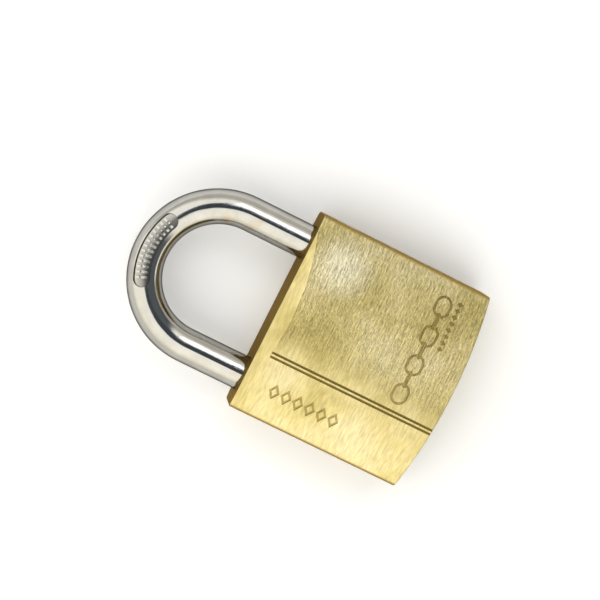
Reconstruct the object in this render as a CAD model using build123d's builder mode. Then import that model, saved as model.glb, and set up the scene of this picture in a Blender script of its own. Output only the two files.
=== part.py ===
from build123d import *
import os

os.makedirs("parts", exist_ok=True)

# A padlock lying on its back: +Z is the front of the body, +Y points to the shackle.
# All sizes are in millimetres.

# Body
body_width = 40.0
body_thickness = 15.0
side_height = 35.0
bottom_sag = 1.45
crown_drop = 2.68
facet_half_chord = 17.0
facet_length = 2.8
corner_fillet = 1.0
rim_fillet = 0.25

# Shackle
rod_diameter = 6.7
leg_spacing = 27.6
straight_above_body = 12.0
toe_depth = 9.0
shackle_travel = 10.5
neck_diameter = 4.0

# Lock mechanism
plug_diameter = 10.0
cam_drive_radius = 2.0
drive_pin_diameter = 1.4
bolt_diameter = 5.3
bolt_depth = 5.5
bolt_engagement = 1.15
pin_count = 5
pin_diameter = 2.6
first_pin_depth = 14.3
last_pin_margin = 6.7
retaining_pin_diameter = 2.0
keyway_width = 1.7

# Fits
shaft_clearance = 0.075
plug_clearance = 0.05
bolt_clearance = 0.1
chamber_clearance = 0.1
part_gap = 0.2
slot_clearance = 0.2

# Heights measured from the body's top face are depths; the frame's middle is half the total length.
rod_radius = rod_diameter / 2
leg_x = leg_spacing / 2
bow_height = straight_above_body + leg_x + rod_radius
total_length = side_height + bottom_sag + bow_height
top_y = total_length / 2 - bow_height
bottom_y = -total_length / 2
corner_y = top_y - side_height
mid_z = body_thickness / 2
half_width = body_width / 2
crown_radius = (half_width**2 + crown_drop**2) / (2 * crown_drop)
bottom_radius = (half_width**2 + bottom_sag**2) / (2 * bottom_sag)


def crown_z(x):
    """Height of the crowned front above the middle plane at x."""
    return mid_z - crown_radius + (crown_radius**2 - x**2) ** 0.5


def across(y):
    """A sketch plane across the lock at this Y: local axes are X and Z, extruding goes down."""
    return Plane(origin=(0, y, 0), x_dir=(1, 0, 0), z_dir=(0, -1, 0))


def lens(depth):
    """Cross-section of the body, with its crowned faces moved in by depth."""
    edge = mid_z - crown_drop - depth
    crest = mid_z - depth
    with BuildSketch(mode=Mode.PRIVATE) as section:
        with BuildLine():
            Line((-half_width, -edge), (-half_width, edge))
            ThreePointArc((-half_width, edge), (0, crest), (half_width, edge))
            Line((half_width, edge), (half_width, -edge))
            ThreePointArc((half_width, -edge), (0, -crest), (-half_width, -edge))
        make_face()
    return section.sketch


facet_drop = mid_z - crown_z(facet_half_chord)
facet_slope = facet_drop / facet_length

# Bores
shackle_bore = rod_radius + shaft_clearance
heel_bore_depth = side_height - 3.5
toe_bore_depth = toe_depth + 1.5
bolt_radius = bolt_diameter / 2
channel_radius = bolt_radius + bolt_clearance
plug_radius = plug_diameter / 2
plug_bore = plug_radius + plug_clearance
plug_start = bolt_depth + channel_radius + 2.75
plug_end = side_height + bottom_sag - 0.45
pocket_radius = cam_drive_radius + drive_pin_diameter / 2 + 0.8
drive_top = bolt_depth - 0.4
pin_radius = pin_diameter / 2
chamber_radius = pin_radius + chamber_clearance
last_pin_depth = side_height - last_pin_margin
pin_pitch = (last_pin_depth - first_pin_depth) / (pin_count - 1)
pin_depths = [first_pin_depth + i * pin_pitch for i in range(pin_count)]
press_radius = retaining_pin_diameter / 2

# Shackle retaining pin: beside the neck, just above the head when the shackle is up.
neck_radius = neck_diameter / 2
neck_start = toe_depth
catch_depth = bolt_depth + channel_radius + 0.95 + press_radius
catch_x = -(leg_x - neck_radius - part_gap - press_radius)
head_top = catch_depth + press_radius + 0.1 + shackle_travel
head_bottom = head_top + 2.2
catch_floor = body_thickness - 3.2

# Plug retaining pin: in a groove turned near the plug's open end.
groove_radius = plug_radius - 1.0
groove_depth = side_height - 2.6
groove_width = retaining_pin_diameter + 2 * part_gap
keeper_x = -(groove_radius + part_gap + press_radius)

# Bolts: drawn in at rest. A quarter turn of the cam sends each one out by the stroke.
drive_reach = cam_drive_radius * 0.5**0.5
bolt_stroke = 2 * drive_reach
tip_out = leg_x - rod_radius + bolt_engagement
tip_in = tip_out - bolt_stroke
shoulder_in = drive_reach + drive_pin_diameter / 2 + slot_clearance + 1.25
tail_end = shoulder_in - 0.35
lap_gap = 0.1
bolt_spring_depth = bolt_depth - 1.6
bolt_spring_radius = 0.8
bolt_spring_wire = 0.13
channel_end = leg_x + shackle_bore
spring_seat = 1.1

# Engraved grooves and rows of marks on the front.
groove_pair_x = (-7.94, -7.12)
line_width = 0.46
line_depth = 0.3
mark_depth = 0.2
link_depth = 27.4
link_height = 3.3
link_pitch = 6.0

with BuildPart() as mark_cutter:
    # A skin that follows the crowned front, kept only where the marks are.
    with BuildSketch(across(top_y)) as skin_outline:
        with Locations((0, mid_z)):
            add(lens(0))
            add(lens(mark_depth), mode=Mode.SUBTRACT)
    extrude(amount=side_height + bottom_sag)
    with BuildSketch(Plane.XY.offset(mid_z)) as marks:
        # A chain across the lower front: links seen face on, joined by links seen edge on.
        for i in range(4):
            with Locations((-3.5 + link_pitch * i, top_y - link_depth)):
                SlotOverall(4.3, link_height)
            with Locations((-3.5 + link_pitch * i, top_y - link_depth)):
                SlotOverall(3.34, link_height - 0.96, mode=Mode.SUBTRACT)
        for i in range(3):
            with Locations((-0.5 + link_pitch * i, top_y - link_depth)):
                SlotOverall(3.5, 0.8)
        # A column of hollow diamonds beside the grooves.
        for i in range(6):
            with Locations((-13.7, top_y - 6.25 - 2.46 * i)):
                Polygon((-1.6, 0), (0, -1.1), (1.6, 0), (0, 1.1), align=None)
            with Locations((-13.7, top_y - 6.25 - 2.46 * i)):
                Polygon((-0.84, 0), (0, -0.57), (0.84, 0), (0, 0.57), align=None, mode=Mode.SUBTRACT)
        # A short row of small diamonds under the chain.
        for i in range(8):
            with Locations((7.2 + 1.3 * i, top_y - link_depth - link_height / 2 - 1.25)):
                Polygon((-0.5, 0), (0, -0.6), (0.5, 0), (0, 0.6), align=None)
    extrude(amount=body_thickness, mode=Mode.INTERSECT)

with BuildPart() as body:
    with BuildSketch(across(top_y)):
        with Locations((0, mid_z)):
            add(lens(0))
    extrude(amount=side_height + bottom_sag)
    fillet(body.edges().filter_by(Axis.Y), corner_fillet)
    # The lower end is a shallow arc from side to side.
    with BuildSketch(Plane.XY):
        with BuildLine():
            Polyline((-half_width, corner_y), (-half_width, top_y), (half_width, top_y), (half_width, corner_y))
            ThreePointArc((half_width, corner_y), (0, bottom_y), (-half_width, corner_y))
        make_face()
    extrude(amount=body_thickness, mode=Mode.INTERSECT)
    # Flat facets slope from the front and the back to the top face.
    for side in (1, -1):
        with BuildSketch(Plane.YZ.offset(-half_width)):
            with BuildLine():
                Polyline(
                    (top_y - facet_length, mid_z + side * mid_z),
                    (top_y + 1, mid_z + side * (mid_z - facet_slope * (facet_length + 1))),
                    (top_y + 1, mid_z + side * (mid_z + 1)),
                    (top_y - facet_length, mid_z + side * (mid_z + 1)),
                    close=True,
                )
            make_face()
        extrude(amount=body_width, mode=Mode.SUBTRACT)
    top_face = body.faces().sort_by(Axis.Y)[-1]
    fillet(top_face.edges(), rim_fillet)
    bottom_face = body.faces().sort_by(Axis.Y)[0]
    fillet(bottom_face.edges(), rim_fillet)
    # Two legs' bores, each with a small lead-in at its mouth.
    with BuildSketch(across(top_y)):
        with Locations((-leg_x, mid_z)):
            Circle(shackle_bore)
    extrude(amount=heel_bore_depth, mode=Mode.SUBTRACT)
    with BuildSketch(across(top_y)):
        with Locations((leg_x, mid_z)):
            Circle(shackle_bore)
    extrude(amount=toe_bore_depth, mode=Mode.SUBTRACT)
    with BuildSketch(across(top_y)):
        with Locations((-leg_x, mid_z), (leg_x, mid_z)):
            Circle(shackle_bore + 0.3)
    extrude(amount=0.3, taper=45, mode=Mode.SUBTRACT)
    # The bolt channel runs from the heel bore out through the right side.
    with BuildSketch(Plane.YZ.offset(-leg_x)):
        with Locations((top_y - bolt_depth, mid_z)):
            Circle(channel_radius)
    extrude(amount=leg_x + half_width, mode=Mode.SUBTRACT)
    # Plug bore from below, and the cam's pocket above it.
    with BuildSketch(across(top_y - plug_start)):
        with Locations((0, mid_z)):
            Circle(plug_bore)
    extrude(amount=side_height + bottom_sag, mode=Mode.SUBTRACT)
    with BuildSketch(across(top_y - drive_top + part_gap)):
        with Locations((0, mid_z)):
            Circle(pocket_radius)
    extrude(amount=plug_start - drive_top + 2 * part_gap, mode=Mode.SUBTRACT)
    # Pin chambers, drilled in from the right side.
    for depth in pin_depths:
        with BuildSketch(Plane.YZ.offset(plug_radius - 0.6)):
            with Locations((top_y - depth, mid_z)):
                Circle(chamber_radius)
        extrude(amount=half_width, mode=Mode.SUBTRACT)
    # Cross holes for the two retaining pins, drilled from the back.
    with BuildSketch(Plane.XY):
        with Locations((catch_x, top_y - catch_depth), (keeper_x, top_y - groove_depth)):
            Circle(press_radius)
    extrude(amount=catch_floor, mode=Mode.SUBTRACT)
    # Engraving on the front.
    with BuildSketch(Plane.XY.offset(mid_z + crown_z(groove_pair_x[0]) - line_depth)):
        for x in groove_pair_x:
            with Locations((x, (top_y - 2.45 + bottom_y - 1) / 2)):
                Rectangle(line_width, top_y - 2.45 - bottom_y + 1)
    extrude(amount=2, mode=Mode.SUBTRACT)
    add(mark_cutter.part, mode=Mode.SUBTRACT)
body.part.label = "body"
export_step(body.part, "parts/body.step")

# A pill-shaped panel sunk into the front of the bow, a little towards its outer side.
panel_depth = 0.28
panel_offset = 0.56
panel_width = 3.1
panel_angle = 49.0
tick_spread = 46.0
bow_centre = (0, top_y + straight_above_body)
with BuildPart() as bow_panel:
    # The skin of the bow, to the panel's depth.
    with BuildLine() as panel_path:
        panel_arc = ThreePointArc(
            (-leg_x, top_y + straight_above_body, mid_z),
            (0, top_y + straight_above_body + leg_x, mid_z),
            (leg_x, top_y + straight_above_body, mid_z),
        )
    with BuildSketch(Plane(origin=panel_arc @ 0, z_dir=panel_arc % 0)):
        Circle(rod_radius + 0.5)
        Circle(rod_radius - panel_depth, mode=Mode.SUBTRACT)
    sweep()
    with BuildSketch(Plane.XY.offset(mid_z)):
        panel_line = CenterArc(
            bow_centre, leg_x + panel_offset, 90 - panel_angle / 2, panel_angle, mode=Mode.PRIVATE
        )
        SlotArc(panel_line, panel_width)
        # Two rows of raised ticks are left standing, the inner row the longer.
        with Locations(bow_centre):
            with PolarLocations(leg_x + panel_offset - 0.55, 12, 90 - tick_spread / 2, tick_spread, endpoint=True):
                Rectangle(1.25, 0.5, mode=Mode.SUBTRACT)
            with PolarLocations(leg_x + panel_offset + 0.78, 13, 90 - tick_spread / 2, tick_spread, endpoint=True):
                Rectangle(0.75, 0.42, mode=Mode.SUBTRACT)
    extrude(amount=2 * rod_radius, mode=Mode.INTERSECT)

with BuildPart() as shackle:
    with BuildLine() as rod_path:
        heel_line = Line((-leg_x, top_y - head_bottom, mid_z), (-leg_x, top_y + straight_above_body, mid_z))
        bow = ThreePointArc(
            (-leg_x, top_y + straight_above_body, mid_z),
            (0, top_y + straight_above_body + leg_x, mid_z),
            (leg_x, top_y + straight_above_body, mid_z),
        )
        Line((leg_x, top_y + straight_above_body, mid_z), (leg_x, top_y - toe_depth, mid_z))
    with BuildSketch(Plane(origin=heel_line @ 0, z_dir=(0, 1, 0))):
        Circle(rod_radius)
    sweep()
    ends = shackle.faces().filter_by(GeomType.PLANE).filter_by(Axis.Y)
    chamfer(ends.edges(), 0.7)
    # The waist that the retaining pin and the heel bolt pass beside.
    with BuildSketch(across(top_y - neck_start)):
        with Locations((-leg_x, mid_z)):
            Circle(rod_radius + 1)
            Circle(neck_radius, mode=Mode.SUBTRACT)
    extrude(amount=head_top - neck_start, mode=Mode.SUBTRACT)
    # A notch for the bolt on the inner side of each leg.
    notch_floor = tip_out + part_gap
    for side in (-1, 1):
        with BuildSketch(Plane.XY):
            with Locations((side * (notch_floor - 2), top_y - bolt_depth)):
                Rectangle(4, 2 * bolt_radius + 0.5)
        extrude(amount=body_thickness, mode=Mode.SUBTRACT)
    # A pilot under the heel keeps the spring centred.
    with BuildSketch(across(top_y - head_bottom + 0.2)):
        with Locations((-leg_x, mid_z)):
            Circle(1.5)
    extrude(amount=2.2)
    add(bow_panel.part, mode=Mode.SUBTRACT)
shackle.part.label = "shackle"
export_step(shackle.part, "parts/shackle.step")

# The plug is stored turned a quarter, so its row of key pins points to the back.
key_pin_lengths = [3.1, 3.9, 3.4, 4.2, 3.6]
key_pin_stop = 0.5
with BuildPart() as plug:
    with BuildSketch(across(top_y - plug_start - part_gap)):
        with Locations((0, mid_z)):
            Circle(plug_radius)
    extrude(amount=plug_end - plug_start - part_gap)
    chamfer(plug.edges().filter_by(GeomType.CIRCLE).sort_by(Axis.Y)[0], 0.3)
    # Groove for the retaining pin.
    with BuildSketch(across(top_y - groove_depth + groove_width / 2)):
        with Locations((0, mid_z)):
            Circle(plug_radius + 1)
            Circle(groove_radius, mode=Mode.SUBTRACT)
    extrude(amount=groove_width, mode=Mode.SUBTRACT)
    # The keyway, with a rib along one wall, stops short of the cam's end.
    keyway_top = top_y - first_pin_depth + 1.9
    with BuildSketch(across(keyway_top)):
        with Locations((0, mid_z + 0.45)):
            Rectangle(keyway_width, plug_diameter - 3.1)
        with Locations((keyway_width / 2, mid_z + 1.2)):
            Rectangle(0.9, 1.1, mode=Mode.SUBTRACT)
        with Locations((keyway_width / 2 + 0.2, mid_z + 3.0)):
            Rectangle(0.8, 1.0)
    extrude(amount=side_height, mode=Mode.SUBTRACT)
    # Holes for the key pins.
    for depth in pin_depths:
        with BuildSketch(Plane.XY.offset(mid_z - plug_radius - 1)):
            with Locations((0, top_y - depth)):
                Circle(chamber_radius)
        extrude(amount=plug_radius + 1 + key_pin_stop + 0.3, mode=Mode.SUBTRACT)
    # A slot in the upper end takes the cam's tongue.
    with BuildSketch(across(top_y - plug_start)):
        with Locations((0, mid_z)):
            Rectangle(2.2, plug_diameter + 1)
    extrude(amount=1.4, mode=Mode.SUBTRACT)
plug.part.label = "plug"
export_step(plug.part, "parts/plug.step")

# Two drive pins stand on the cam: the front one works the left bolt, the back one the right.
cam_top = bolt_depth + channel_radius + 0.3
with BuildPart() as cam:
    with BuildSketch(across(top_y - cam_top)):
        with Locations((0, mid_z)):
            Circle(pocket_radius - part_gap)
    extrude(amount=plug_start - cam_top)
    with BuildSketch(across(top_y - plug_start)):
        with Locations((0, mid_z)):
            Rectangle(2.0, 2 * (pocket_radius - part_gap) - 0.8)
    extrude(amount=1.25)
    with BuildSketch(across(top_y - drive_top)):
        with Locations((drive_reach, mid_z + drive_reach), (-drive_reach, mid_z - drive_reach)):
            Circle(drive_pin_diameter / 2)
    extrude(amount=cam_top - drive_top + 0.1)
cam.part.label = "cam"
export_step(cam.part, "parts/cam.step")

for name, side in (("locking_bolt_left", -1), ("locking_bolt_right", 1)):
    # side -1 is the bolt for the heel; its tail lies in the front half of the channel.
    with BuildPart() as bolt:
        with BuildSketch(Plane.YZ.offset(-tip_in if side < 0 else -tail_end)):
            with Locations((top_y - bolt_depth, mid_z)):
                Circle(bolt_radius)
        extrude(amount=tip_in + tail_end)
        tip_edges = bolt.edges().filter_by(GeomType.CIRCLE).sort_by(Axis.X)
        chamfer(tip_edges[0 if side < 0 else -1], 0.5)
        # Cut away the other bolt's half of the tail.
        with BuildSketch(Plane.YZ.offset(-shoulder_in if side < 0 else -tail_end)):
            with Locations((top_y - bolt_depth, mid_z + side * (bolt_diameter / 2 - lap_gap))):
                Rectangle(bolt_diameter + 1, bolt_diameter)
        extrude(amount=shoulder_in + tail_end, mode=Mode.SUBTRACT)
        # The slot that the cam's drive pin works in, open to the outer side of the tail.
        with BuildSketch(across(top_y - drive_top + part_gap)):
            with Locations((-side * drive_reach, mid_z - side * (drive_reach - 0.85 + 2))):
                Rectangle(drive_pin_diameter + 2 * slot_clearance, 4)
        extrude(amount=bolt_diameter, mode=Mode.SUBTRACT)
        # Half a groove along the tail and a short blind hole hold the bolt spring.
        with BuildSketch(Plane.YZ.offset(-shoulder_in - spring_seat if side < 0 else -tail_end - 1)):
            with Locations((top_y - bolt_spring_depth, mid_z)):
                Circle(bolt_spring_radius + 0.15)
        extrude(amount=shoulder_in + spring_seat + tail_end + 1, mode=Mode.SUBTRACT)
    bolt.part.label = name
    export_step(bolt.part, "parts/" + name + ".step")


def coil(start, direction, length, radius, wire, turns):
    """A round-wire compression spring."""
    with BuildPart(mode=Mode.PRIVATE) as spring:
        with BuildLine():
            turn = Helix(length / turns, length, radius - wire, center=start, direction=direction)
        with BuildSketch(Plane(origin=turn @ 0, z_dir=turn % 0)):
            Circle(wire)
        sweep(is_frenet=True)
    return spring.part


with BuildPart() as bolt_spring:
    spring_half = shoulder_in + spring_seat - 0.3
    spring_start = (-spring_half, top_y - bolt_spring_depth, mid_z)
    add(coil(spring_start, (1, 0, 0), 2 * spring_half, bolt_spring_radius, bolt_spring_wire, 14))
bolt_spring.part.label = "bolt_spring"
export_step(bolt_spring.part, "parts/bolt_spring.step")

with BuildPart() as shackle_spring:
    spring_wire = 0.4
    spring_bottom = (-leg_x, top_y - heel_bore_depth + spring_wire + 0.05, mid_z)
    spring_length = heel_bore_depth - head_bottom - 2 * spring_wire - 0.15
    add(coil(spring_bottom, (0, 1, 0), spring_length, rod_radius - 0.35, spring_wire, 5))
shackle_spring.part.label = "shackle_spring"
export_step(shackle_spring.part, "parts/shackle_spring.step")

# The pins are ground flush with the crowned back.
retaining_pins = (
    ("shackle_retaining_pin", catch_x, catch_depth),
    ("plug_retaining_pin", keeper_x, groove_depth),
)
for name, x, depth in retaining_pins:
    back_z = mid_z - crown_z(x) + 0.1
    with BuildPart() as cross_pin:
        with BuildSketch(Plane.XY.offset(back_z)):
            with Locations((x, top_y - depth)):
                Circle(press_radius)
        extrude(amount=catch_floor - back_z)
    cross_pin.part.label = name
    export_step(cross_pin.part, "parts/" + name + ".step")

with BuildPart() as bolt_bore_plug:
    with BuildSketch(Plane.YZ.offset(channel_end + 0.3)):
        with Locations((top_y - bolt_depth, mid_z)):
            Circle(channel_radius)
    extrude(amount=half_width - channel_end - 0.35)
bolt_bore_plug.part.label = "bolt_bore_plug"
export_step(bolt_bore_plug.part, "parts/bolt_bore_plug.step")

driver_length = 3.6
driver_start = plug_bore + 0.02
chamber_plug_length = 2.6
pin_spring_wire = 0.14
for i, depth in enumerate(pin_depths):
    number = str(i + 1)
    pin_y = top_y - depth
    # A key pin reaches from the shear line towards the keyway and ends in a cone.
    with BuildPart() as key_pin:
        with BuildSketch(Plane.XY.offset(mid_z - plug_radius + 0.12)):
            with Locations((0, pin_y)):
                Circle(pin_radius)
        extrude(amount=key_pin_lengths[i])
        chamfer(key_pin.edges().sort_by(Axis.Z)[-1], 0.7)
        chamfer(key_pin.edges().sort_by(Axis.Z)[0], 0.25)
    key_pin.part.label = "key_pin_" + number
    export_step(key_pin.part, "parts/key_pin_" + number + ".step")
    with BuildPart() as driver_pin:
        with BuildSketch(Plane.YZ.offset(driver_start)):
            with Locations((pin_y, mid_z)):
                Circle(pin_radius)
        extrude(amount=driver_length)
        chamfer(driver_pin.edges().filter_by(GeomType.CIRCLE), 0.25)
    driver_pin.part.label = "driver_pin_" + number
    export_step(driver_pin.part, "parts/driver_pin_" + number + ".step")
    with BuildPart() as pin_spring:
        spring_from = driver_start + driver_length + pin_spring_wire + 0.05
        spring_to = half_width - 0.05 - chamber_plug_length - pin_spring_wire - 0.05
        add(coil((spring_from, pin_y, mid_z), (1, 0, 0), spring_to - spring_from, 1.15, pin_spring_wire, 9))
    pin_spring.part.label = "pin_spring_" + number
    export_step(pin_spring.part, "parts/pin_spring_" + number + ".step")
    with BuildPart() as chamber_plug:
        with BuildSketch(Plane.YZ.offset(half_width - 0.05 - chamber_plug_length)):
            with Locations((pin_y, mid_z)):
                Circle(chamber_radius)
        extrude(amount=chamber_plug_length)
    chamber_plug.part.label = "chamber_plug_" + number
    export_step(chamber_plug.part, "parts/chamber_plug_" + number + ".step")
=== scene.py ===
import bpy
import bmesh
import math
from mathutils import Vector, Matrix


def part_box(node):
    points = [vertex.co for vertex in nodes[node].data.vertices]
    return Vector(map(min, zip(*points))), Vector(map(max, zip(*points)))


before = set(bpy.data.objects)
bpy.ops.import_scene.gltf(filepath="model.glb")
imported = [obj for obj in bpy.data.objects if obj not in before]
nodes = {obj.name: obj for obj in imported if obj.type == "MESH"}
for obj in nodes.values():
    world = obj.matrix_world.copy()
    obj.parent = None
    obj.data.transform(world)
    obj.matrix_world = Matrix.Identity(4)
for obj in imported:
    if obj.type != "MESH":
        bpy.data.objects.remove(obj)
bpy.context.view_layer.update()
print("frame loaded:", len(nodes), "nodes")

mm = 0.001
bodyLow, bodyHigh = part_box("body")
middleZ = (bodyLow.z + bodyHigh.z) / 2
crownRadius = 75.97 * mm    # front and back of the body bulge on this radius
rodRadius = 3.35 * mm
bowRadius = 13.8 * mm       # to the middle of the rod
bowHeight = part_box("shackle")[1].y - (bowRadius + rodRadius)    # where the legs run into the bow
noiseMiddle = (0.3, 0.7)    # nearly all of a noise texture lies between these


# sRGB hex to the linear values that the shaders want
def hexColour(text):
    values = []
    for start in (1, 3, 5):
        share = int(text[start:start + 2], 16) / 255
        values.append(share / 12.92 if share <= 0.04045 else ((share + 0.055) / 1.055) ** 2.4)
    return (*values, 1.0)


# adds one node: a socket is linked to its input, a "#" colour or a plain value is set on it
def addNode(tree, kind, inputs, stops=(), **settings):
    node = tree.nodes.new(kind)
    for key, value in settings.items():
        setattr(node, key, value)
    for key, value in inputs.items():
        if isinstance(value, bpy.types.NodeSocket):
            tree.links.new(value, node.inputs[key])
        else:
            node.inputs[key].default_value = hexColour(value) if isinstance(value, str) else value
    if stops:
        while len(node.color_ramp.elements) < len(stops):
            node.color_ramp.elements.new(0.5)
        for element, (place, colour) in zip(node.color_ramp.elements, stops):
            element.position = place
            element.color = hexColour(colour)
    return node


# the nodes used again and again, each giving back the socket that carries its result
def calc(tree, operation, *terms):
    return addNode(tree, "ShaderNodeMath", dict(enumerate(terms)), operation=operation).outputs[0]


def ramp(tree, source, low, high, start=0.0, end=1.0, curve="LINEAR"):
    inputs = {0: source, 1: low, 2: high, 3: start, 4: end}
    return addNode(tree, "ShaderNodeMapRange", inputs, interpolation_type=curve).outputs[0]


def noise(tree, place, size=1.0, detail=3.0, roughness=0.5, distortion=0.0):
    inputs = {"Vector": place, "Scale": 1 / size, "Detail": detail}
    inputs.update(Roughness=roughness, Distortion=distortion)
    return addNode(tree, "ShaderNodeTexNoise", inputs).outputs[0]


def mixColours(tree, share, first, second, blend="MIX"):
    inputs = {0: share, 6: first, 7: second}
    return addNode(tree, "ShaderNodeMix", inputs, data_type="RGBA", blend_type=blend).outputs[2]


def mixNumbers(tree, share, first, second):
    return addNode(tree, "ShaderNodeMix", {0: share, 2: first, 3: second}, data_type="FLOAT").outputs[0]


# squeezes the coordinates so that one mark, sized in mm, is one unit each way
def inMarks(tree, place, *sizes):
    scale = tuple(1 / (size * mm) for size in sizes)
    return addNode(tree, "ShaderNodeMapping", {0: place, "Scale": scale}).outputs[0]


def vectorCalc(tree, operation, *terms):
    return addNode(tree, "ShaderNodeVectorMath", dict(enumerate(terms)), operation=operation)


def newMaterial(name):
    material = bpy.data.materials.new(name)
    material.use_nodes = True
    material.node_tree.nodes.clear()
    return material, material.node_tree


# every piece but the floor is bare or plated metal
def finishMetal(tree, inputs):
    shader = addNode(tree, "ShaderNodeBsdfPrincipled", {"Metallic": 1.0, **inputs})
    addNode(tree, "ShaderNodeOutputMaterial", {0: shader.outputs[0]})


def dress(material, *names):
    for name in names:
        mesh = nodes[name].data
        mesh.materials.clear()
        mesh.materials.append(material)


linishedLook = {
    "pale": "#CFC296",
    "straw": "#C8B983",
    "olive": "#B5A66C",
    "toneAt": (0.34, 0.5, 0.66),    # where olive, straw and pale sit in the clouds
    "cloudSize": 11,                # mm
    "sideTint": "#A38750",          # drawn sides, never linished, a browner yellow
    "sideFacing": (0.3, 0.8),       # how squarely a face looks sideways
    "sideShare": 0.8,
    "endShadeTint": "#877955",           # sawn upper end, darkened with brown painted shade
    "endShadeFacing": (0.6, 0.95),
    "endShadeShare": 0.94,
    "facetFacing": (0.15, 0.35),    # facets and ends are plainer than the front
    "facetGrain": 0.1,
    "engraved": "#84733A",          # oxide left in the cut lines
    "cutDepth": (0.06, 0.27),       # mm under the crown, from clean metal to full oxide
    "frontFrom": (4.2, 5.0),        # mm in front of the middle, where the cut lines can be
    "grain": (2.2, 0.34, 1.2),      # mm, a belt scratch; real ones are half as wide, drawn coarser to show
    "sparkle": 0.34,                # mm, torn flecks between the scratches
    "sparkleStretch": 1.9,
    "sparkleDeep": 1.0,             # mm
    "streakFrom": (0.75, 1.25),
    "streaks": (0.62, 1.3),         # darkest and brightest scratch, as a share of the tone
    "stripEdge": -6.2,              # mm, the broad panel right of here is the coarser one
    "stripBlend": (-1.5, 7),        # mm from that edge, where one finish runs into the other
    "stripGrain": 0.12,
    "leastGrain": 0.22,
    "roughness": 0.36,
    "glossSpread": (0.1, -0.08),    # duller in the dark scratches, brighter on the torn flecks
    "bump": 0.16,                   # mm, drawn deeper than the real scratches so they catch the light
    "edgeTint": "#B3976A",          # what a glancing look picks up: brown instead of white
    "rubbedHighlight": "#EDE6CC",            # a corner knocked bright by the hasp, with a painted highlight over it
    "rubbedHighlightPlace": (13.2, -3.6, 15.0),
    "rubbedHighlightReach": (8, 1),          # mm, from where it fades out to where it is full
    "rubbedHighlightShare": 0.75,
}


# Leaded brass, extruded, its front and back linished from side to side on a coarse belt:
# the eye gets close bright and dark scratches across the width, torn into sparkle on the
# broad panel, with plain drawn metal at the sides and brown painted shade on the sawn end.
def makeLinishedBrass(look):
    material, tree = newMaterial("linishedBrass")
    texture = addNode(tree, "ShaderNodeTexCoord", {})
    place = texture.outputs["Object"]
    axes = addNode(tree, "ShaderNodeSeparateXYZ", {0: place})
    facing = addNode(tree, "ShaderNodeSeparateXYZ", {0: texture.outputs["Normal"]})

    scratchPlace = inMarks(tree, place, *look["grain"])
    scratches = noise(tree, scratchPlace, detail=4.0, roughness=0.62, distortion=0.15)
    fleckSizes = (look["sparkle"] * look["sparkleStretch"], look["sparkle"], look["sparkleDeep"])
    flecks = noise(tree, inMarks(tree, place, *fleckSizes), roughness=0.7, distortion=0.4)
    clouds = noise(tree, place, look["cloudSize"] * mm)

    # where each finish shows
    stripFrom, stripTo = [(look["stripEdge"] + offset) * mm for offset in look["stripBlend"]]
    panel = ramp(tree, axes.outputs["X"], stripFrom, stripTo, look["stripGrain"], 1.0, "SMOOTHSTEP")
    endways = calc(tree, "ABSOLUTE", facing.outputs["Y"])
    notFacet = ramp(tree, endways, *look["facetFacing"], 1.0, look["facetGrain"])
    coarse = calc(tree, "MULTIPLY", panel, notFacet)
    sideways = calc(tree, "ABSOLUTE", facing.outputs["X"])
    sides = ramp(tree, sideways, *look["sideFacing"], 0.0, look["sideShare"])
    # brown painted shade on the face that looks up towards the shackle
    upperEndShade = ramp(tree, facing.outputs["Y"], *look["endShadeFacing"], 0.0, look["endShadeShare"])

    # how far a point lies under the crowned front, to find the cut lines
    square = calc(tree, "POWER", axes.outputs["X"], 2.0)
    crown = calc(tree, "MULTIPLY_ADD", square, -1 / (2 * crownRadius), bodyHigh.z)
    under = calc(tree, "SUBTRACT", crown, axes.outputs["Z"])
    cut = ramp(tree, under, *[depth * mm for depth in look["cutDepth"]])
    frontOnly = ramp(tree, axes.outputs["Z"], *[middleZ + height * mm for height in look["frontFrom"]])
    cutFront = calc(tree, "MULTIPLY", cut, frontOnly)
    engraved = calc(tree, "MULTIPLY", cutFront, notFacet)

    # the colours, laid over each other
    grain = mixNumbers(tree, coarse, scratches, flecks)
    both = calc(tree, "ADD", grain, scratches)
    tone = addNode(tree, "ShaderNodeValToRGB", {0: clouds}, list(zip(
        look["toneAt"], (look["olive"], look["straw"], look["pale"])))).outputs[0]
    streak = ramp(tree, both, *look["streakFrom"], *look["streaks"])
    # a pale spot at the upper right of the front: rubbed brass carrying a painted highlight
    rubbedHighlightPlace = tuple(value * mm for value in look["rubbedHighlightPlace"])
    fromRubHighlight = vectorCalc(tree, "DISTANCE", place, rubbedHighlightPlace).outputs[1]
    rubHighlightFrom, rubHighlightTo = [reach * mm for reach in look["rubbedHighlightReach"]]
    rubHighlight = ramp(tree, fromRubHighlight, rubHighlightFrom, rubHighlightTo, 0.0, look["rubbedHighlightShare"], "SMOOTHSTEP")
    rubbedHighlight = mixColours(tree, rubHighlight, tone, look["rubbedHighlight"])
    depthOfGrain = ramp(tree, coarse, 0.0, 1.0, look["leastGrain"], 1.0)
    streaked = mixColours(tree, depthOfGrain, rubbedHighlight, streak, "MULTIPLY")
    sided = mixColours(tree, sides, streaked, look["sideTint"])
    lined = mixColours(tree, engraved, sided, look["engraved"])
    endShaded = mixColours(tree, upperEndShade, lined, look["endShadeTint"])

    dull, bright = [look["roughness"] + change for change in look["glossSpread"]]
    roughness = ramp(tree, grain, *noiseMiddle, dull, bright)
    height = mixNumbers(tree, coarse, scratches, both)
    bump = addNode(tree, "ShaderNodeBump", {
        "Height": height, "Strength": depthOfGrain, "Distance": look["bump"] * mm})
    finishMetal(tree, {
        "Specular Tint": look["edgeTint"], "Base Color": endShaded, "Roughness": roughness, "Normal": bump.outputs[0]})
    return material


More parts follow.
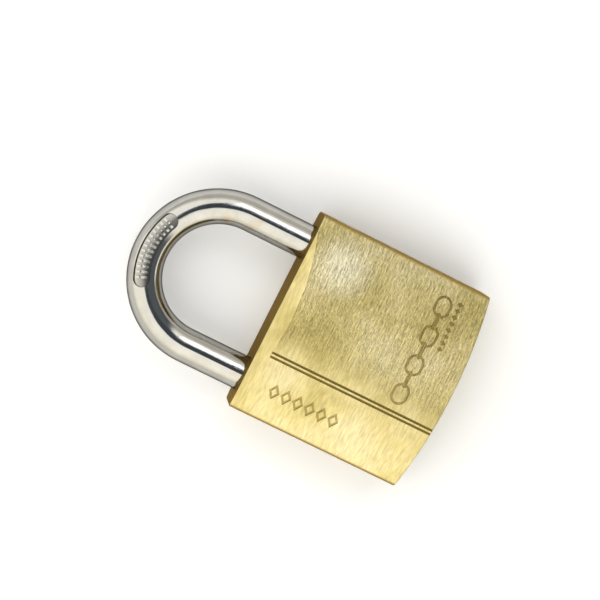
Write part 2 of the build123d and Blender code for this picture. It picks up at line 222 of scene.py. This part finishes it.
chromeLook = {
    "bright": "#BFBEBB",
    "smoky": "#A4A29D",
    "hazeSize": 3.5,            # mm
    "edgeTint": "#54524C",
    "polish": 0.22,             # mm between the polishing lines under the plate, which run along the rod
    "polishAlong": 0.05,       # how fast the lines change along the rod, against across it
    "polishShare": 2.5,         # against the pits
    "pits": 0.5,                # mm, faint pitting
    "pitsFrom": (0.35, 0.75),
    "pitsDull": 0.07,
    "roughness": 0.05,
    "bump": 0.006,              # mm
    "rippleSize": 6,            # mm, waves left by the bending
    "rippleBump": 0.16,         # mm
    "rippleFrom": (-4, 5),      # mm above the foot of the bow, where the waves grow
    "rippleShare": (0.15, 0.75),
    "stain": "#B39876",         # thin plating, faintly rusted through
    "stainFrom": (0.6, 0.78),
    "stainShare": 0.8,
    "sunkTint": "#3B3A38",         # darker colour in the sunk panel
    "sunkTintDepth": (0.05, 0.24),     # mm under the round of the rod
    "sunkTintAcross": (-0.6, 1.6),     # mm, out from the rod's middle line
    "sunkTintShare": (0.85, 0.2),
    "sunkDull": 0.35,
}


# Bent steel rod, polished and plated with nickel and chromium: a cool mirror that carries
# long soft ripples and the ghost of the polishing lines round the rod.
def makeChromePlate(look):
    material, tree = newMaterial("chromePlatedSteel")
    place = addNode(tree, "ShaderNodeTexCoord", {}).outputs["Object"]
    haze = noise(tree, place, look["hazeSize"] * mm, detail=5.0, roughness=0.6)
    ripple = noise(tree, place, look["rippleSize"] * mm, detail=1.0)
    pits = noise(tree, place, look["pits"] * mm, detail=2.0, roughness=0.65)
    plate = mixColours(tree, haze, look["bright"], look["smoky"])
    stainSpots = ramp(tree, ripple, *look["stainFrom"], 0.0, look["stainShare"])
    stained = mixColours(tree, stainSpots, plate, look["stain"])

    # where a point is across the rod: out from its middle line, and to the front
    axes = addNode(tree, "ShaderNodeSeparateXYZ", {0: place})
    above = calc(tree, "SUBTRACT", axes.outputs["Y"], bowHeight)
    onBow = calc(tree, "MAXIMUM", above, 0.0)
    inPlane = addNode(tree, "ShaderNodeCombineXYZ", {0: axes.outputs["X"], 1: onBow})
    out = vectorCalc(tree, "LENGTH", inPlane.outputs[0]).outputs[1]
    reach = calc(tree, "SUBTRACT", out, bowRadius)
    front = calc(tree, "SUBTRACT", axes.outputs["Z"], middleZ)
    section = addNode(tree, "ShaderNodeCombineXYZ", {0: reach, 1: front})
    along = calc(tree, "MULTIPLY", axes.outputs["Y"], look["polishAlong"])
    linePlace = addNode(tree, "ShaderNodeCombineXYZ", {0: reach, 1: front, 2: along})
    lines = noise(tree, linePlace.outputs[0], look["polish"] * mm, roughness=0.6)
    fromCore = vectorCalc(tree, "LENGTH", section.outputs[0]).outputs[1]
    under = calc(tree, "SUBTRACT", rodRadius, fromCore)

    # the sunk panel is darker towards the inside of the bow
    thick = ramp(tree, reach, *[offset * mm for offset in look["sunkTintAcross"]], *look["sunkTintShare"])
    below = ramp(tree, under, *[depth * mm for depth in look["sunkTintDepth"]])
    sunk = calc(tree, "MULTIPLY", below, thick)
    colour = mixColours(tree, sunk, stained, look["sunkTint"])
    dullest = look["roughness"] + look["pitsDull"]
    polished = ramp(tree, pits, *look["pitsFrom"], look["roughness"], dullest)
    sunkRough = calc(tree, "MULTIPLY", sunk, look["sunkDull"])
    roughness = calc(tree, "ADD", polished, sunkRough)

    rippleFrom, rippleTo = [height * mm for height in look["rippleFrom"]]
    bending = ramp(tree, above, rippleFrom, rippleTo, *look["rippleShare"], "SMOOTHSTEP")
    fine = calc(tree, "MULTIPLY_ADD", lines, look["polishShare"], pits)
    fineBump = addNode(tree, "ShaderNodeBump", {
        "Height": fine, "Strength": 1.0, "Distance": look["bump"] * mm})
    bump = addNode(tree, "ShaderNodeBump", {
        "Height": ripple, "Normal": fineBump.outputs[0], "Strength": bending,
        "Distance": look["rippleBump"] * mm})
    finishMetal(tree, {
        "Specular Tint": look["edgeTint"], "Base Color": colour, "Roughness": roughness, "Normal": bump.outputs[0]})
    return material


# "lathe" is the mm between tool marks, "axisAt" the depth of the lathe's axis, which runs along Y
turnedLooks = {
    # plug, faced and turned from bar: fine rings that draw the light into a spoke
    "turnedBrass": {"light": "#DDC27A", "dark": "#B7964A", "lathe": 0.12, "axisAt": middleZ,
                    "roughness": 0.3, "bump": 0.25},
    # pins and stoppers, cropped from drawn brass wire: a dull, even yellow
    "pinBrass": {"light": "#C9AB68", "dark": "#A3864A", "lathe": 0.1, "axisAt": None,
                 "roughness": 0.34, "bump": 0.2},
    # cam and bolts, milled and left bare: a grey sheen with short tool marks
    "machinedSteel": {"light": "#B9B8B4", "dark": "#8E8C87", "lathe": 0.14, "axisAt": None,
                      "roughness": 0.32, "bump": 0.25},
    # driver pins, ground to size: finer marks and a brighter grey
    "driverSteel": {"light": "#C2BFB6", "dark": "#9A968C", "lathe": 0.07, "axisAt": None,
                    "roughness": 0.26, "bump": 0.2},
    # hard-drawn spring wire: dark grey, smoothed by the die
    "springSteel": {"light": "#A9A8A6", "dark": "#6F6D6A", "lathe": 0.08, "axisAt": None,
                    "roughness": 0.36, "bump": 0.15},
}
turnedCommon = {
    "stainSize": 2.5,               # mm
    "glossSpread": (-0.06, 0.08),   # brighter in the low marks, duller on the high ones
    "markDepth": 0.03,              # mm
    "drawnCoarser": 2,              # drawn marks against turned rings
}


# Bar stock turned or drawn and left as it came off the machine: rings round the axis where
# there is one, else fine drawn marks, with patches of light handling stain.
def makeTurned(name, look, common):
    material, tree = newMaterial(name)
    place = addNode(tree, "ShaderNodeTexCoord", {}).outputs["Object"]
    stain = noise(tree, place, common["stainSize"] * mm, detail=4.0, roughness=0.6)
    if look["axisAt"] is not None:
        centred = addNode(tree, "ShaderNodeMapping", {
            0: place, "Location": (0, 0, -look["axisAt"]), "Scale": (1, 0, 1)})
        reach = vectorCalc(tree, "LENGTH", centred.outputs[0]).outputs[1]
        ring = calc(tree, "MULTIPLY", reach, 1 / (look["lathe"] * mm))
        marks = addNode(tree, "ShaderNodeTexNoise", {
            "W": ring, "Scale": 1.0, "Detail": 3.0, "Roughness": 0.6}, noise_dimensions="1D").outputs[0]
    else:
        marks = noise(tree, place, look["lathe"] * common["drawnCoarser"] * mm, roughness=0.6)
    colour = mixColours(tree, stain, look["light"], look["dark"])
    bright, dull = [look["roughness"] + change for change in common["glossSpread"]]
    roughness = ramp(tree, marks, *noiseMiddle, bright, dull)
    bump = addNode(tree, "ShaderNodeBump", {
        "Height": marks, "Strength": look["bump"], "Distance": common["markDepth"] * mm})
    finishMetal(tree, {"Base Color": colour, "Roughness": roughness, "Normal": bump.outputs[0]})
    return material


linishedBrass = makeLinishedBrass(linishedLook)
chromePlate = makeChromePlate(chromeLook)
turned = {name: makeTurned(name, look, turnedCommon) for name, look in turnedLooks.items()}
numbers = range(1, 6)
dress(linishedBrass, "body")
dress(chromePlate, "shackle")
dress(turned["turnedBrass"], "plug")
dress(turned["pinBrass"], "bolt_bore_plug", "plug_retaining_pin", "shackle_retaining_pin",
      *[f"key_pin_{n}" for n in numbers], *[f"chamber_plug_{n}" for n in numbers])
dress(turned["machinedSteel"], "cam", "locking_bolt_left", "locking_bolt_right")
dress(turned["driverSteel"], *[f"driver_pin_{n}" for n in numbers])
dress(turned["springSteel"], "bolt_spring", "shackle_spring", *[f"pin_spring_{n}" for n in numbers])
print("finishes on")

# Floor: matt white paper, wide enough that only the lock's own shadow shows on it
floorSettings = {"size": 3.0, "colour": "#F8F9FF", "roughness": 0.9}
bm = bmesh.new()
bmesh.ops.create_grid(bm, x_segments=1, y_segments=1, size=floorSettings["size"] / 2)
floorMesh = bpy.data.meshes.new("floor")
bm.to_mesh(floorMesh)
bm.free()
floor = bpy.data.objects.new("floor", floorMesh)
bpy.context.scene.collection.objects.link(floor)
floorMaterial, tree = newMaterial("palePaper")
shader = addNode(tree, "ShaderNodeBsdfPrincipled", {
    "Base Color": floorSettings["colour"], "Roughness": floorSettings["roughness"]})
addNode(tree, "ShaderNodeOutputMaterial", {0: shader.outputs[0]})
floorMesh.materials.append(floorMaterial)
print("floor down")

# Studio: a pale tent of light. It is brightest on the two long sides of the lock, greyer
# low on the right, and has a dark gap overhead that runs off towards the lower right.
tent = {
    "strength": 1.95,
    "sweep": [      # degrees round the lock's long axis, from straight overhead to its right
        (-180, "#9C9A92"), (-115, "#A19E92"), (-95, "#B4B0A2"), (-81, "#CFCBB9"), (-66, "#E6E2D2"),
        (-54, "#F6F3E6"), (-15, "#F3F1E8"), (10, "#EEEDE6"), (44, "#F1F0EA"), (54, "#CBC9BF"),
        (66, "#A5A29A"), (80, "#B5B2A6"), (96, "#A8A59B"), (112, "#8C8A82"), (180, "#85837C")],
    "gapTint": "#3C4248",
    "gapCentre": (0.208, -0.07, 0.976),
    "gapAngle": 17.5,       # degrees from its centre to its rim
    "gapSoft": 2.5,         # degrees of blur either side of the rim
    "tailAim": (0.37, -0.93, 0.0),
    "tailWidth": (0.66, 0.82),      # cosines off that aim, outside and inside the blur
    "tailHeight": (0.24, 0.38),     # how far down it reaches
    "tailShare": 0.95,
}
world = bpy.data.worlds.new("tent")
world.use_nodes = True
bpy.context.scene.world = world
tree = world.node_tree
tree.nodes.clear()
aim = addNode(tree, "ShaderNodeTexCoord", {}).outputs["Generated"]
axes = addNode(tree, "ShaderNodeSeparateXYZ", {0: aim})
turn = calc(tree, "ARCTAN2", axes.outputs["X"], axes.outputs["Z"])
share = ramp(tree, turn, -math.pi, math.pi)
sweep = addNode(tree, "ShaderNodeValToRGB", {0: share}, [
    ((angle + 180) / 360, colour) for angle, colour in tent["sweep"]]).outputs[0]
overhead = vectorCalc(tree, "DOT_PRODUCT", aim, tent["gapCentre"]).outputs[1]
outerRim = math.cos(math.radians(tent["gapAngle"] + tent["gapSoft"]))
innerRim = math.cos(math.radians(tent["gapAngle"] - tent["gapSoft"]))
gap = ramp(tree, overhead, outerRim, innerRim, curve="SMOOTHSTEP")
flat = vectorCalc(tree, "MULTIPLY", aim, (1, 1, 0)).outputs[0]
level = vectorCalc(tree, "NORMALIZE", flat).outputs[0]
tailSide = vectorCalc(tree, "DOT_PRODUCT", level, tent["tailAim"]).outputs[1]
tailWide = ramp(tree, tailSide, *tent["tailWidth"], 0.0, tent["tailShare"], "SMOOTHSTEP")
tailHigh = ramp(tree, axes.outputs["Z"], *tent["tailHeight"], curve="SMOOTHSTEP")
tail = calc(tree, "MULTIPLY", tailWide, tailHigh)
dark = calc(tree, "MAXIMUM", gap, tail)
shade = mixColours(tree, dark, sweep, tent["gapTint"])
background = addNode(tree, "ShaderNodeBackground", {0: shade, "Strength": tent["strength"]})
addNode(tree, "ShaderNodeOutputWorld", {0: background.outputs[0]})

# places and sizes in metres, power in watts; both lamps look at the middle of the body
lights = {
    "leftSoftbox": {"place": (-0.5, -0.2, 0.5), "size": (0.6, 0.9), "power": 0.2, "colour": "#FFF1DC"},
    "upperRight": {"place": (0.40, -0.02, 0.62), "size": (0.16, 0.3), "power": 0.3, "colour": "#FFFFFF"},
}
for name, light in lights.items():
    data = bpy.data.lights.new(name, "AREA")
    data.shape = "RECTANGLE"
    data.size, data.size_y = light["size"]
    data.energy = light["power"]
    data.color = hexColour(light["colour"])[:3]
    lamp = bpy.data.objects.new(name, data)
    lamp.location = light["place"]
    lookAt = Vector((0, 0, middleZ)) - Vector(light["place"])
    lamp.rotation_euler = lookAt.to_track_quat("-Z", "Y").to_euler()
    bpy.context.scene.collection.objects.link(lamp)
print("lights up")

# Camera, in mm from the frame's origin: almost straight down, rolled so the shackle points up and left
view = {
    "place": (28.91, 50.97, 387.56),
    "target": (3.41, 0.04, 7.5),
    "up": (0.8903, 0.4397, -0.1186),
    "lens": 122.3,
    "sensor": 36,
    "clipStart": 0.01,      # metres
}
cameraData = bpy.data.cameras.new("camera")
cameraData.lens = view["lens"]
cameraData.sensor_width = view["sensor"]
cameraData.clip_start = view["clipStart"]
camera = bpy.data.objects.new("camera", cameraData)
back = (Vector(view["place"]) - Vector(view["target"])).normalized()
right = Vector(view["up"]).cross(back).normalized()
up = back.cross(right)
spin = Matrix((right, up, back)).transposed().to_4x4()
camera.matrix_world = Matrix.Translation(Vector(view["place"]) * mm) @ spin
bpy.context.scene.collection.objects.link(camera)
bpy.context.scene.camera = camera
bpy.context.scene.view_settings.view_transform = "Standard"
print("camera set")
